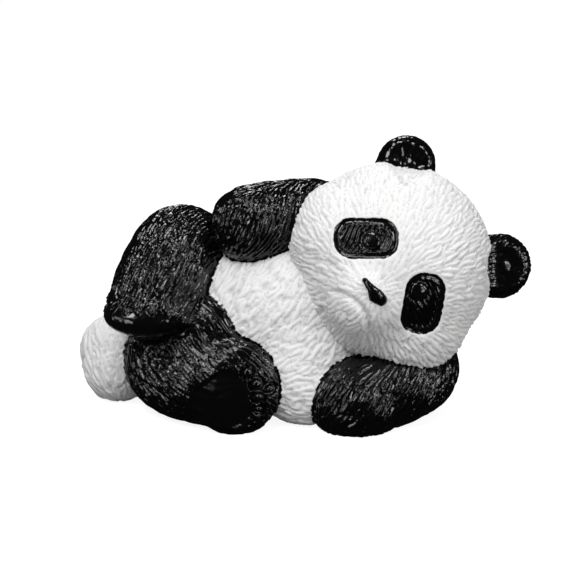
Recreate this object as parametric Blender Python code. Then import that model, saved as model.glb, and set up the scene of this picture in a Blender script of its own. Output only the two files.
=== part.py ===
"""Panda cub figurine: one solid casting of a cub that lies on its left side, its head on its left arm.

The face looks along -Y, the tail lies at -X, the head at +X, and the underside is flat at Z = 0.
Every form is given in sixtieths of the figure's length, which are millimetres at the real size.
"""

import math
import random

import bpy
import numpy as np
from mathutils import Matrix, Vector, kdtree

# Driving dimension: tail to outer ear, in metres
FIGURE_LENGTH = 0.060
UNIT = FIGURE_LENGTH / 60

# Fusing the forms: the grid in units, the rounds of smoothing and the count of triangles
FUSE_VOXEL = 0.42
BODY_ROUNDS = 26
JOIN_ROUNDS = 5
TRIANGLES = 9300
FINE_DETAIL = 0.35

# Head: where its centre lies, and how it is turned to the viewer
HEAD_CENTRE = Vector((11.3, -0.8, 19.9))
HEAD_ROLL = math.radians(48.5)
HEAD_PITCH = math.radians(15)
HEAD_YAW = math.radians(4.5)

# Masses of the head: (side, front, up) from its centre, then radii along the same axes
SKULL = ((0, 0, 0), (13.1, 12.2, 13.0))
CHEEKS = (((-6.4, 1.6, -2.6), (7.6, 8.0, 7.8)), ((6.4, 1.6, -2.6), (7.6, 8.0, 7.8)))
MUZZLE = ((0, 8.6, -5.6), (4.9, 4.6, 4.2))
CHIN = ((0, 8.4, -8.2), (3.6, 3.2, 2.4))
BRIDGE = ((0, 8.6, -2.4), (4.6, 3.5, 4.4))
NOSE = ((-0.3, 12.7, -4.6), (2.1, 1.2, 0.85))
EARS = (((-8.1, -1.6, 9.9), (3.9, 2.3, 4.0)), ((9.8, -1.6, 10.4), (4.3, 2.3, 4.3)))

# Torso and limbs: (x, y, z, radius) at stations from the body outwards
# The flank, the thigh, the paw and the feet are a place and three radii
TRUNK = ((4.0, 4.3, 14.3, 11.6), (-4.5, 3.4, 12.7, 12.0), (-13.5, 5.2, 10.1, 10.2), (-20.3, 6.4, 6.7, 6.9))
BELLY = ((-1.0, -0.6, 9.4, 8.8), (-1.0, -3.6, 6.4, 6.6), (0.2, -5.6, 4.6, 4.9))
FLANK = ((-5.0, 4.4, 5.2), (19.0, 9.5, 6.2))
TAIL = ((-24.7, 3.9, 4.4, 4.8), (-25.1, 5.0, 6.5, 4.9))
UPPER_ARM = ((6.0, 5.2, 22.7, 5.6), (1.2, 2.2, 25.2, 5.1), (-3.8, -0.6, 25.5, 5.1), (-7.0, -2.4, 25.4, 4.9))
LOWER_ARM = ((11.0, 6.8, 7.7, 6.6), (15.1, 0.9, 5.6, 5.5), (12.6, -4.8, 5.3, 5.4), (8.0, -6.8, 4.1, 5.2))
LOWER_PAW = ((6.6, -7.7, 3.6), (6.1, 5.4, 5.3))
UPPER_LEG = (
    (-13.0, 4.8, 16.2, 7.2), (-15.8, 0.2, 21.4, 5.9), (-17.8, -2.8, 18.3, 6.1), (-19.2, -4.4, 15.9, 5.6),
)
UPPER_FOOT = ((-19.7, -6.4, 14.6), (6.1, 5.2, 3.0))
LOWER_LEG = (
    (-14.0, 5.4, 8.4, 8.0), (-16.9, -0.5, 6.4, 6.5), (-13.2, -4.6, 6.1, 6.4), (-9.9, -6.2, 6.4, 6.2),
)
LOWER_THIGH = ((-12.4, -3.4, 10.6), (6.2, 6.0, 6.6))
LOWER_FOOT = ((-8.7, -9.0, 5.7), (5.9, 3.7, 6.4))
BALLS_PER_SPAN = 6
ARM_FUR_DROP = 1.0

# Fur: the place that the head's fur runs away from, and how it falls on the torso above a height
FUR_CENTRE = (0, 14, -4.5)
FALL_FROM = 5
FALL = 0.15

# Face, as (side, up) from the head's centre: hollowed eye patches, each with its slant and its domed eye
PATCHES = (((-5.5, -0.92), math.radians(49), (3.92, 2.5)), ((5.25, -0.95), math.radians(139), (3.85, 2.75)))
FACE_FRONT = 5
PATCH_CORNER = 2.2
PATCH_DEPTH = 0.5
EYES = ((-4.96, -0.6), (3.7, -0.4))
EYE_RADIUS = 1.2
EYE_RISE = 0.75
MOUTH_DROP = 7.1
MOUTH_HALF = 3.2
MOUTH_DEPTH = 0.5
NOSE_BARE = 2.4
EAR_HOLLOW = 0.8
EAR_HOLLOW_BLEND = 2

# Lower foot: its sole faces the viewer, with four round toe pads at (x, z)
TOE_PADS = ((-7.0, 8.7), (-6.0, 7.2), (-5.7, 5.5), (-5.8, 3.7))
TOE_PAD_RADIUS = 0.75
TOE_PAD_RISE = 0.5
TOE_FIELD = 4.0
SOLE_AT = (-10.0, 5.0)
SOLE_HALF = (4.1, 3.9)
SOLE_HOLLOW = 0.3

# Upper foot: a row of toes above its bare sole, as heights over the foot's centre
UPPER_TOES = 5
UPPER_TOE_RISE = 0.55
UPPER_TOE_LINE = 1.9
UPPER_SOLE_TOP = 1.2

# Locks of fur that show from a step away
LOCK_LENGTH = 5.0
LOCK_HALF_WIDTH = 1.25
LOCK_RISE = 0.55
LOCK_SPACING = 2.2
LOCK_SEED = 7
SHORT_FUR_REACH = 8.0
SHORT_FUR_SHARE = 0.25


def head_turn():
    """The head's own axes in the figure: side (its left), front and up, as columns."""
    upright = Matrix(((1, 0, 0), (0, -1, 0), (0, 0, 1)))
    turned = Matrix.Rotation(-HEAD_PITCH, 3, "X") @ Matrix.Rotation(HEAD_ROLL, 3, "Y")
    return turned @ Matrix.Rotation(HEAD_YAW, 3, "Z") @ upright


def on_head(point):
    return HEAD_CENTRE + head_turn() @ Vector(point)


def head_ball(mass, heading=None):
    """A mass of the head as a ball: its centre, radii, axes and the way its fur lies (None: off the nose)."""
    return on_head(mass[0]), mass[1], head_turn(), heading


def body_ball(mass, heading):
    """A ball of a limb, whose fur lies along the heading."""
    return Vector(mass[:3]), [mass[3]] * 3, Matrix.Identity(3), Vector(heading)


def on_curve(t, before, start, end, after):
    """A value at t on the smooth curve from start to end."""
    slope = end - before
    bow = 2 * before - 5 * start + 4 * end - after
    twist = 3 * start - before - 3 * end + after
    return start + 0.5 * (slope * t + bow * t**2 + twist * t**3)


def limb_balls(stations, drop=0.0):
    """A limb as balls along a smooth line through its stations, its fur lying outwards and down by a drop."""
    last = len(stations) - 1
    line = []
    for i in range(last):
        run = stations[max(i - 1, 0)], stations[i], stations[i + 1], stations[min(i + 2, last)]
        for step in range(BALLS_PER_SPAN):
            t = step / BALLS_PER_SPAN
            line.append([on_curve(t, *values) for values in zip(*run)])
    line.append(stations[-1])
    ways = [Vector(b[:3]) - Vector(a[:3]) for a, b in zip(line, line[1:])]
    ways.append(ways[-1])
    return [body_ball(station, way.normalized() - Vector((0, 0, drop))) for station, way in zip(line, ways)]


def wide_ball(mass, heading):
    """A mass with three radii, whose fur lies along the heading."""
    return Vector(mass[0]), mass[1], Matrix.Identity(3), Vector(heading)


def all_forms():
    """Every group of balls by name, in the order in which the groups are fused."""
    return {
        "head": [head_ball(mass) for mass in (SKULL, *CHEEKS, MUZZLE, CHIN, BRIDGE)],
        "nose": [head_ball(NOSE)],
        "right_ear": [head_ball(EARS[0])],
        "left_ear": [head_ball(EARS[1])],
        "torso": [*limb_balls(TRUNK), *limb_balls(BELLY), wide_ball(FLANK, (-1, 0, 0))],
        "tail": limb_balls(TAIL),
        "upper_arm": limb_balls(UPPER_ARM, ARM_FUR_DROP),
        "lower_arm": [*limb_balls(LOWER_ARM, ARM_FUR_DROP), wide_ball(LOWER_PAW, (-0.6, -0.4, -0.7))],
        "upper_leg": [*limb_balls(UPPER_LEG), wide_ball(UPPER_FOOT, (-0.3, -1, -0.3))],
        "lower_leg": [
            *limb_balls(LOWER_LEG),
            wide_ball(LOWER_THIGH, (0.5, -0.3, -0.8)),
            wide_ball(LOWER_FOOT, (1, 0, -0.4)),
        ],
    }


def add_ball(ball):
    """One ellipsoid with its place in its mesh."""
    centre, radii, turn, _ = ball
    bpy.ops.mesh.primitive_uv_sphere_add(segments=40, ring_count=24, radius=1)
    made = bpy.context.object
    placed = Matrix.Translation(centre) @ turn.to_4x4() @ Matrix.Diagonal((*radii, 1))
    made.data.transform(Matrix.Scale(UNIT, 4) @ placed)
    if turn.determinant() < 0:
        made.data.flip_normals()
    return made


def finish_with(target, kind, **settings):
    """Adds a modifier with these settings and applies it."""
    modifier = target.modifiers.new(kind.lower(), kind)
    for name, value in settings.items():
        setattr(modifier, name, value)
    bpy.context.view_layer.objects.active = target
    bpy.ops.object.modifier_apply(modifier=modifier.name)


def fuse(objects, name, rounds):
    """Joins the objects, melts them into one skin and softens its creases."""
    bpy.ops.object.select_all(action="DESELECT")
    for each in objects:
        each.select_set(True)
    bpy.context.view_layer.objects.active = objects[0]
    bpy.ops.object.join()
    whole = bpy.context.object
    whole.name = name
    finish_with(whole, "REMESH", mode="VOXEL", voxel_size=FUSE_VOXEL * UNIT)
    finish_with(whole, "SMOOTH", factor=0.5, iterations=rounds)
    return whole


def melt_forms(forms):
    """Melts each form by itself, and then all of them together."""
    parts = []
    for name, balls in forms.items():
        if len(balls) > 1:
            parts.append(fuse([add_ball(ball) for ball in balls], name, BODY_ROUNDS))
    parts += [add_ball(balls[0]) for balls in forms.values() if len(balls) == 1]
    return fuse(parts, "panda", JOIN_ROUNDS)


def read_skin(figure):
    """The skin's points, in units, and its outward normals as arrays."""
    points = np.array([v.co for v in figure.data.vertices]) / UNIT
    normals = np.array([v.normal for v in figure.data.vertices])
    return points, normals


def raise_skin(figure, height):
    """Moves each point of the skin along its normal by its height in units."""
    points, normals = read_skin(figure)
    moved = (points + normals * height[:, None]) * UNIT
    figure.data.vertices.foreach_set("co", moved.astype(np.float32).ravel())
    figure.data.update()


def depth_in(points, balls):
    """How far each point lies outside the nearest of the balls, about in units."""
    reach = []
    for centre, radii, turn, _ in balls:
        local = (points - np.array(centre)) @ np.array(turn) / np.array(radii)
        reach.append((np.linalg.norm(local, axis=1) - 1) * min(radii))
    return np.array(reach)


def fur_lie(points, normals, forms):
    """The way the fur lies at each point, along the skin."""
    names = list(forms)
    nearest = np.argmin([depth_in(points, forms[name]).min(axis=0) for name in names], axis=0)
    off_nose = points - np.array(on_head(FUR_CENTRE))
    lie = np.zeros_like(points)
    for i, name in enumerate(names):
        here = nearest == i
        balls = forms[name]
        if not here.any():
            continue
        if name == "torso":
            fall = FALL * np.clip(points[here, 2] - FALL_FROM, 0, None)
            lie[here] = np.column_stack((-np.ones(len(fall)), np.zeros(len(fall)), -fall))
            continue
        if balls[0][3] is None:
            lie[here] = off_nose[here]
            continue
        near = np.exp(-depth_in(points[here], balls) / 1.2)
        lie[here] = near.T @ np.array([ball[3] for ball in balls])
    lie -= normals * (lie * normals).sum(axis=1)[:, None]
    return lie / np.maximum(np.linalg.norm(lie, axis=1), 1e-6)[:, None]


def rounded_box(across, along, half, corner):
    """How far a point of a plane lies outside a box with round corners."""
    over_across = np.abs(across) - half[0] + corner
    over_along = np.abs(along) - half[1] + corner
    outside = np.hypot(np.maximum(over_across, 0), np.maximum(over_along, 0))
    return outside + np.minimum(np.maximum(over_across, over_along), 0) - corner


def step_down(distance, width):
    """1 well inside an edge, 0 outside it, smooth over the width."""
    t = np.clip(0.5 - distance / width, 0, 1)
    return t * t * (3 - 2 * t)


def dome(distance, radius):
    return np.sqrt(np.clip(1 - (distance / radius) ** 2, 0, 1))


def carve_face(points):
    """Height and bareness of the eye patches, eyes, nose and mouth."""
    side, front, up = ((points - np.array(HEAD_CENTRE)) @ np.array(head_turn())).T
    on_face = front > FACE_FRONT
    height = np.zeros(len(points))
    bare = np.zeros(len(points))
    for (centre, turn, half), eye in zip(PATCHES, EYES):
        along = (side - centre[0]) * math.cos(turn) + (up - centre[1]) * math.sin(turn)
        across = (up - centre[1]) * math.cos(turn) - (side - centre[0]) * math.sin(turn)
        inside = step_down(rounded_box(along, across, half, PATCH_CORNER), 0.9) * on_face
        from_eye = np.hypot(side - eye[0], up - eye[1])
        height += (EYE_RISE * dome(from_eye, EYE_RADIUS) - PATCH_DEPTH) * inside
        bare = np.maximum(bare, inside)
    mouth = np.hypot(up + MOUTH_DROP + 0.1 * side**2, np.maximum(np.abs(side) - MOUTH_HALF, 0))
    height -= MOUTH_DEPTH * step_down(mouth - 0.5, 1.0) * on_face
    from_nose = np.hypot(side - NOSE[0][0], up - NOSE[0][2])
    bare = np.maximum(bare, step_down(from_nose - NOSE_BARE, 1.0) * on_face)
    return height, bare


def carve_ears(points):
    """The hollow on the front of each ear."""
    local = (points - np.array(HEAD_CENTRE)) @ np.array(head_turn())
    height = np.zeros(len(points))
    for (side, front, up), radii in EARS:
        from_centre = np.hypot(local[:, 0] - side, local[:, 2] - up)
        hollow = step_down(from_centre - 0.55 * radii[0], EAR_HOLLOW_BLEND)
        height -= EAR_HOLLOW * hollow * (local[:, 1] > front)
    return height


def carve_feet(points, normals):
    """Height and bareness of the soles, and where the toe pads are."""
    x, y, z = points.T
    height = np.zeros(len(points))
    facing = (normals[:, 1] < -0.4) & (y < LOWER_FOOT[0][1])
    sole = np.hypot((x - SOLE_AT[0]) / SOLE_HALF[0], (z - SOLE_AT[1]) / SOLE_HALF[1]) - 1
    bare = step_down(sole * SOLE_HALF[1], 1.0) * facing
    height -= SOLE_HOLLOW * bare
    pads = np.zeros(len(points))
    for pad_x, pad_z in TOE_PADS:
        pads = np.maximum(pads, dome(np.hypot(x - pad_x, z - pad_z), TOE_PAD_RADIUS) * facing)
    height += TOE_PAD_RISE * pads
    middle_pad = np.mean(TOE_PADS, axis=0)
    toes = (np.hypot(x - middle_pad[0], z - middle_pad[1]) < TOE_FIELD) & facing & (x > SOLE_AT[0] + 2)
    (foot_x, foot_y, foot_z), (half_x, _, half_z) = UPPER_FOOT
    on_foot = (y < foot_y + 1) & (np.abs(x - foot_x) < half_x + 1) & (z > foot_z - half_z)
    under = step_down(z - foot_z - UPPER_SOLE_TOP, 1.0) * on_foot
    rim = step_down(np.abs(z - foot_z - UPPER_TOE_LINE) - 0.7, 1.2) * on_foot
    waves = np.abs(np.sin((x - foot_x) / half_x * math.pi * UPPER_TOES / 2))
    height += UPPER_TOE_RISE * (waves - 0.4) * rim * (normals[:, 1] < 0)
    return height, np.clip(bare + toes + under, 0, 1), pads


def spread_roots(points, spacing, seed):
    """Points of the skin in a shuffled order, none closer to another than the spacing."""
    order = list(range(len(points)))
    random.Random(seed).shuffle(order)
    taken = {}
    roots = []
    for i in order:
        cell = tuple(int(c // spacing) for c in points[i])
        around = [
            j for dx in (-1, 0, 1) for dy in (-1, 0, 1) for dz in (-1, 0, 1)
            for j in taken.get((cell[0] + dx, cell[1] + dy, cell[2] + dz), ())
        ]
        if all(np.abs(points[i] - points[j]).sum() > spacing for j in around):
            taken.setdefault(cell, []).append(i)
            roots.append(i)
    return roots


def comb_locks(points, normals, lie):
    """Height of the fur: overlapping pointed locks, each rising to its tip."""
    tree = kdtree.KDTree(len(points))
    for i, point in enumerate(points):
        tree.insert(point, i)
    tree.balance()
    height = np.zeros(len(points))
    for root in spread_roots(points, LOCK_SPACING, LOCK_SEED):
        along, up = lie[root], normals[root]
        across = np.cross(up, along)
        middle = points[root] + along * LOCK_LENGTH / 2
        near = np.array([hit[1] for hit in tree.find_range(Vector(middle), 0.6 * LOCK_LENGTH)])
        if not len(near):
            continue
        offset = points[near] - points[root]
        t = offset @ along / LOCK_LENGTH
        width = LOCK_HALF_WIDTH * np.sqrt(np.clip(1.02 - t, 0, 1))
        cross = 1 - ((offset @ across) / np.maximum(width, 0.05)) ** 2
        lock = LOCK_RISE * np.clip(t * 1.6, 0, 1) * np.clip(cross, 0, 1)
        lock[(t < 0) | (t > 1) | (np.abs(offset @ up) > LOCK_LENGTH / 2)] = 0
        height[near] = np.maximum(height[near], lock)
    return height


def short_by_nose(points):
    """How much of its height the fur keeps: it is short round the nose."""
    from_nose = np.linalg.norm(points - np.array(on_head(NOSE[0])), axis=1)
    return np.clip(from_nose / SHORT_FUR_REACH, SHORT_FUR_SHARE, 1)


def thin_out(figure, detail):
    """Brings the skin down to its count of triangles, with more of them where the detail is fine."""
    fine = figure.vertex_groups.new(name="fine")
    for i in np.flatnonzero(detail > 0.05):
        fine.add([int(i)], float(detail[i]), "REPLACE")
    finish_with(
        figure, "DECIMATE", ratio=TRIANGLES / (2 * len(figure.data.polygons)),
        vertex_group=fine.name, invert_vertex_group=True, vertex_group_factor=FINE_DETAIL,
    )
    figure.vertex_groups.clear()


def cut_underside(figure):
    """Cuts the figure flat at Z = 0, where it stands."""
    side = 1.5 * FIGURE_LENGTH
    bpy.ops.mesh.primitive_cube_add(size=side, location=(0, 0, -side / 2))
    cutter = bpy.context.object
    finish_with(figure, "BOOLEAN", operation="DIFFERENCE", object=cutter)
    bpy.data.objects.remove(cutter)


def centre_on_origin(figure):
    """Moves the middle of the figure's plan to the origin."""
    points, _ = read_skin(figure)
    middle = (points.min(axis=0) + points.max(axis=0)) / 2
    figure.data.transform(Matrix.Translation((-middle[0] * UNIT, -middle[1] * UNIT, 0)))


def paint(figure):
    """The casting's own white vinyl: the black of the limbs is paint, which the solid doesn't hold."""
    vinyl = bpy.data.materials.new("white_vinyl")
    vinyl.use_nodes = True
    shader = vinyl.node_tree.nodes["Principled BSDF"]
    shader.inputs["Base Color"].default_value = (0.86, 0.86, 0.85, 1)
    shader.inputs["Roughness"].default_value = 0.55
    shader.inputs["Metallic"].default_value = 0
    figure.data.materials.clear()
    figure.data.materials.append(vinyl)


def main():
    for old in list(bpy.data.objects):
        bpy.data.objects.remove(old)
    forms = all_forms()
    figure = melt_forms(forms)
    points, normals = read_skin(figure)
    face, face_bare = carve_face(points)
    feet, feet_bare, pads = carve_feet(points, normals)
    bare = np.maximum(face_bare, feet_bare)
    fur = comb_locks(points, normals, fur_lie(points, normals, forms))
    fur = (fur - LOCK_RISE / 2) * short_by_nose(points) * (1 - bare)
    raise_skin(figure, face + feet + carve_ears(points) + fur)
    thin_out(figure, np.maximum(face_bare, pads))
    cut_underside(figure)
    centre_on_origin(figure)
    paint(figure)


main()
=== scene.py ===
# %% [markdown]
# # A resting panda cub, cast in vinyl and painted
# The object is a small figurine of a panda cub that lies on its left side. It is cast in one, its fur
# is carved in fine overlapping strands, and black paint covers its limbs, ears, eye patches and nose.
# This lesson loads the plain solid that the figurine's size comes from, and then models the same forms
# again with all of their fur.

import math

import bpy
import numpy as np
from mathutils import Matrix, Vector, kdtree
from mathutils.bvhtree import BVHTree


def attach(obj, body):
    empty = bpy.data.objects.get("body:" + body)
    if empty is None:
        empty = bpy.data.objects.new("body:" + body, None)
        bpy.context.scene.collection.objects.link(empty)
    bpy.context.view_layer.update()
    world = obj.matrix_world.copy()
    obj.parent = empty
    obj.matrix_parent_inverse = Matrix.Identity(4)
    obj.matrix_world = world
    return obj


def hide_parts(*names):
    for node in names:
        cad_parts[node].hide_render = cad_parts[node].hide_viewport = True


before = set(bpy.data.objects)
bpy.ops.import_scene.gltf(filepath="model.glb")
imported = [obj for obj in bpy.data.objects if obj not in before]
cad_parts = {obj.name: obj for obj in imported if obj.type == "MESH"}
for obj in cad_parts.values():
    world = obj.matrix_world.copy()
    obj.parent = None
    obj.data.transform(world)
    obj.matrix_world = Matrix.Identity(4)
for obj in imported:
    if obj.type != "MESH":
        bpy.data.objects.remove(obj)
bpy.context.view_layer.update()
MM = 0.001

# %% [markdown]
# ## The forms under the fur
# A sculptor starts such a cub from balls of clay: a skull with two cheeks and a muzzle, a trunk that
# tapers to the tail, and four limbs. Each limb is a run of balls along a curve, so that it swells and
# tapers like a real one. The numbers are millimetres, with +X towards the head and -Y towards the
# viewer.

# %% Name the balls of the head
HEAD_CENTRE = Vector((11.3, -0.8, 19.9))
HEAD_ROLL = math.radians(48.5)
HEAD_PITCH = math.radians(15)
HEAD_YAW = math.radians(4.5)
# Each is (side, front, up) from the head's centre, then the radii along the same axes
SKULL = ((0, 0, 0), (13.1, 12.2, 13.0))
CHEEKS = (((-6.4, 1.6, -2.6), (7.6, 8.0, 7.8)), ((6.4, 1.6, -2.6), (7.6, 8.0, 7.8)))
MUZZLE = ((0, 8.6, -5.6), (4.9, 4.6, 4.2))
CHIN = ((0, 8.4, -8.2), (3.6, 3.2, 2.4))
BRIDGE = ((0, 8.6, -2.4), (4.6, 3.5, 4.4))
NOSE = ((-0.3, 12.7, -4.6), (2.1, 1.2, 0.85))
EARS = (((-8.1, -1.6, 9.9), (3.9, 2.3, 4.0)), ((9.8, -1.6, 10.4), (4.3, 2.3, 4.3)))

upright = Matrix(((1, 0, 0), (0, -1, 0), (0, 0, 1)))
turned = Matrix.Rotation(-HEAD_PITCH, 3, "X") @ Matrix.Rotation(HEAD_ROLL, 3, "Y")
HEAD_TURN = turned @ Matrix.Rotation(HEAD_YAW, 3, "Z") @ upright


def on_head(point):
    """A point given by side, front and up as a place in the figure."""
    return HEAD_CENTRE + HEAD_TURN @ Vector(point)


print("the nose is at", [round(c, 1) for c in on_head(NOSE[0])])

# %% Name the balls of the trunk and the limbs
# Each is (x, y, z, radius), from the body outwards; the paw, the feet and the flank have three radii
TRUNK = ((4.0, 4.3, 14.3, 11.6), (-4.5, 3.4, 12.7, 12.0), (-13.5, 5.2, 10.1, 10.2), (-20.3, 6.4, 6.7, 6.9))
BELLY = ((-1.0, -0.6, 9.4, 8.8), (-1.0, -3.6, 6.4, 6.6), (0.2, -5.6, 4.6, 4.9))
FLANK = ((-5.0, 4.4, 5.2), (19.0, 9.5, 6.2))
TAIL = ((-24.7, 3.9, 4.4, 4.8), (-25.1, 5.0, 6.5, 4.9))
UPPER_ARM = ((6.0, 5.2, 22.7, 5.6), (1.2, 2.2, 25.2, 5.1), (-3.8, -0.6, 25.5, 5.1), (-7.0, -2.4, 25.4, 4.9))
LOWER_ARM = ((11.0, 6.8, 7.7, 6.6), (15.1, 0.9, 5.6, 5.5), (12.6, -4.8, 5.3, 5.4), (8.0, -6.8, 4.1, 5.2))
LOWER_PAW = ((6.6, -7.7, 3.6), (6.1, 5.4, 5.3))
UPPER_LEG = (
    (-13.0, 4.8, 16.2, 7.2), (-15.8, 0.2, 21.4, 5.9), (-17.8, -2.8, 18.3, 6.1), (-19.2, -4.4, 15.9, 5.6),
)
UPPER_FOOT = ((-19.7, -6.4, 14.6), (6.1, 5.2, 3.0))
LOWER_LEG = (
    (-14.0, 5.4, 8.4, 8.0), (-16.9, -0.5, 6.4, 6.5), (-13.2, -4.6, 6.1, 6.4), (-9.9, -6.2, 6.4, 6.2),
)
LOWER_THIGH = ((-12.4, -3.4, 10.6), (6.2, 6.0, 6.6))
LOWER_FOOT = ((-8.7, -9.0, 5.7), (5.9, 3.7, 6.4))
BALLS_PER_SPAN = 6
# How much the fur of a limb hangs down while it runs outwards
UPPER_ARM_DROP = 1.7
LOWER_ARM_DROP = 1.0
LOWER_LEG_DROP = 0.8
print("the trunk's largest ball has a radius of", max(ball[3] for ball in TRUNK), "mm")

# %% [markdown]
# ## From stations to balls
# A few stations are enough to place a limb, but balls that far apart would show as beads. So more balls
# are put between them, on a smooth curve through all stations that also carries the radius. Each ball
# keeps the way that its fur lies, which is outwards along the limb.

# %% Lay balls along the limbs
def head_ball(mass):
    """A ball of the head: centre, radii and axes, and no way, because its fur lies away from the nose."""
    return on_head(mass[0]), mass[1], HEAD_TURN, None


def ball(centre, radii, way):
    """An upright ball: its centre, radii, axes and the way its fur lies."""
    return Vector(centre), radii, Matrix.Identity(3), Vector(way)


def on_curve(t, before, start, end, after):
    """A value at t on the smooth curve from start to end."""
    slope = end - before
    bow = 2 * before - 5 * start + 4 * end - after
    twist = 3 * start - before - 3 * end + after
    return start + 0.5 * (slope * t + bow * t**2 + twist * t**3)


def limb(stations, drop=0.0):
    """A limb as balls along a smooth line through its stations, its fur lying outwards and dropping."""
    last = len(stations) - 1
    line = []
    for i in range(last):
        run = stations[max(i - 1, 0)], stations[i], stations[i + 1], stations[min(i + 2, last)]
        for step in range(BALLS_PER_SPAN):
            t = step / BALLS_PER_SPAN
            line.append([on_curve(t, *values) for values in zip(*run)])
    line.append(stations[-1])
    ways = [Vector(b[:3]) - Vector(a[:3]) for a, b in zip(line, line[1:])]
    ways.append(ways[-1])
    hang = Vector((0, 0, -drop))
    return [ball(place[:3], [place[3]] * 3, way.normalized() + hang) for place, way in zip(line, ways)]


FORMS = {
    "head": [head_ball(mass) for mass in (SKULL, *CHEEKS, MUZZLE, CHIN, BRIDGE)],
    "nose": [head_ball(NOSE)],
    "right_ear": [head_ball(EARS[0])],
    "left_ear": [head_ball(EARS[1])],
    "torso": [*limb(TRUNK), *limb(BELLY), ball(*FLANK, (-1, 0, 0))],
    "tail": limb(TAIL),
    "upper_arm": limb(UPPER_ARM, UPPER_ARM_DROP),
    "lower_arm": [*limb(LOWER_ARM, LOWER_ARM_DROP), ball(*LOWER_PAW, (-0.6, -0.4, -0.7))],
    "upper_leg": [*limb(UPPER_LEG), ball(*UPPER_FOOT, (-0.3, -1, -0.3))],
    "lower_leg": [
        *limb(LOWER_LEG, LOWER_LEG_DROP),
        ball(*LOWER_THIGH, (0.5, -0.3, -0.8)), ball(*LOWER_FOOT, (0.8, 0, -0.6)),
    ],
}
print({name: len(balls) for name, balls in FORMS.items()}, "balls")

# %% [markdown]
# ## Melting balls into flesh
# Balls that are joined and remeshed on a fine grid become one closed skin, and rounds of smoothing melt
# the valleys between them. Muscles melt a lot and creases between limbs only a little, so each form is
# melted by itself before it meets its neighbours. Boolean unions would keep every crease sharp, and
# metaballs are hard to steer.

# %% Add a ball
def add_ball(centre, radii, turn, way):
    """One ball of clay at its place, with its place in its mesh."""
    bpy.ops.object.select_all(action="DESELECT")
    bpy.ops.mesh.primitive_uv_sphere_add(segments=40, ring_count=24, radius=1)
    made = bpy.context.object
    placed = Matrix.Translation(centre) @ turn.to_4x4() @ Matrix.Diagonal((*radii, 1))
    made.data.transform(Matrix.Scale(MM, 4) @ placed)
    if turn.determinant() < 0:
        made.data.flip_normals()
    return made


print("the balls are measured in mm, and a mm is", MM, "of Blender's units")

# %% Melt balls into a form
FORM_GRID = 0.42
FORM_ROUNDS = 26
# How far in mm the creases between forms melt
CREASE = 0.94


def finish_with(target, kind, **settings):
    """Adds a modifier with these settings and applies it."""
    modifier = target.modifiers.new(kind.lower(), kind)
    for name, value in settings.items():
        setattr(modifier, name, value)
    bpy.context.view_layer.objects.active = target
    bpy.ops.object.modifier_apply(modifier=modifier.name)


def melt(objects, name, grid, rounds):
    """Joins objects, remeshes them on a grid in mm and smooths the result."""
    bpy.ops.object.select_all(action="DESELECT")
    for each in objects:
        each.select_set(True)
    bpy.context.view_layer.objects.active = objects[0]
    if len(objects) > 1:
        bpy.ops.object.join()
    whole = bpy.context.object
    whole.name = whole.data.name = name
    finish_with(whole, "REMESH", mode="VOXEL", voxel_size=grid * MM)
    finish_with(whole, "SMOOTH", factor=0.5, iterations=rounds)
    return whole


print("forms are melted on a grid of", FORM_GRID, "mm, with", FORM_ROUNDS, "rounds of smoothing")

# %% Build the four skins
# Each piece is made of these forms, on a grid of so many mm
SKIN_PLANS = {
    "panda_head": (("head", "nose", "right_ear", "left_ear"), 0.395),
    "panda_body": (("torso", "tail"), 0.45),
    "panda_arms": (("upper_arm", "lower_arm"), 0.35),
    "panda_legs": (("upper_leg", "lower_leg"), 0.36),
}


def build_skin(name, form_names, grid):
    """A piece's smooth skin: its forms, melted one by one, then joined on a finer grid and refined once."""
    parts = []
    for form in form_names:
        balls = [add_ball(*each) for each in FORMS[form]]
        parts.append(melt(balls, form, FORM_GRID, FORM_ROUNDS) if len(balls) > 1 else balls[0])
    skin = melt(parts, name, grid, round((CREASE / grid) ** 2))
    finish_with(skin, "SUBSURF", levels=1, render_levels=1, subdivision_type="CATMULL_CLARK")
    print(name, "has", 2 * len(skin.data.polygons), "triangles")
    return skin


skins = {name: build_skin(name, *plan) for name, plan in SKIN_PLANS.items()}

# %% [markdown]
# ## Which way the fur lies
# Carved fur only looks right if it flows. On the head it runs from the nose to the back, on a limb it
# runs down to the paw, and on the belly it falls from the upper side and turns along the ground. The
# way is found for each point of the skin and laid flat along it.

# %% Read a skin
def read_skin(skin):
    """The skin's points in mm and its outward normals."""
    count = len(skin.data.vertices)
    points = np.empty(count * 3, np.float32)
    skin.data.vertices.foreach_get("co", points)
    normals = np.empty(count * 3, np.float32)
    skin.data.vertex_normals.foreach_get("vector", normals)
    return points.reshape(-1, 3).astype(float) / MM, normals.reshape(-1, 3).astype(float)


def outside(points, balls):
    """How far each point lies outside each ball, about in mm."""
    reach = []
    for centre, radii, turn, way in balls:
        local = (points - np.array(centre)) @ np.array(turn) / np.array(radii)
        reach.append((np.linalg.norm(local, axis=1) - 1) * min(radii))
    return np.array(reach)


print("points to comb:", {name: len(skin.data.vertices) for name, skin in skins.items()})

# %% Comb the skin
FALL_FROM = 5
FALL = 0.15
COMB_FROM = (0, 14, -4.5)
BALL_REACH = 1.2


def nearest_form(points, form_names):
    """Which of these forms each point belongs to."""
    return np.argmin([outside(points, FORMS[name]).min(axis=0) for name in form_names], axis=0)


def ball_shares(points, balls):
    """How strongly each ball of a form bears on each point."""
    return np.exp(-outside(points, balls) / BALL_REACH)


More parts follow.
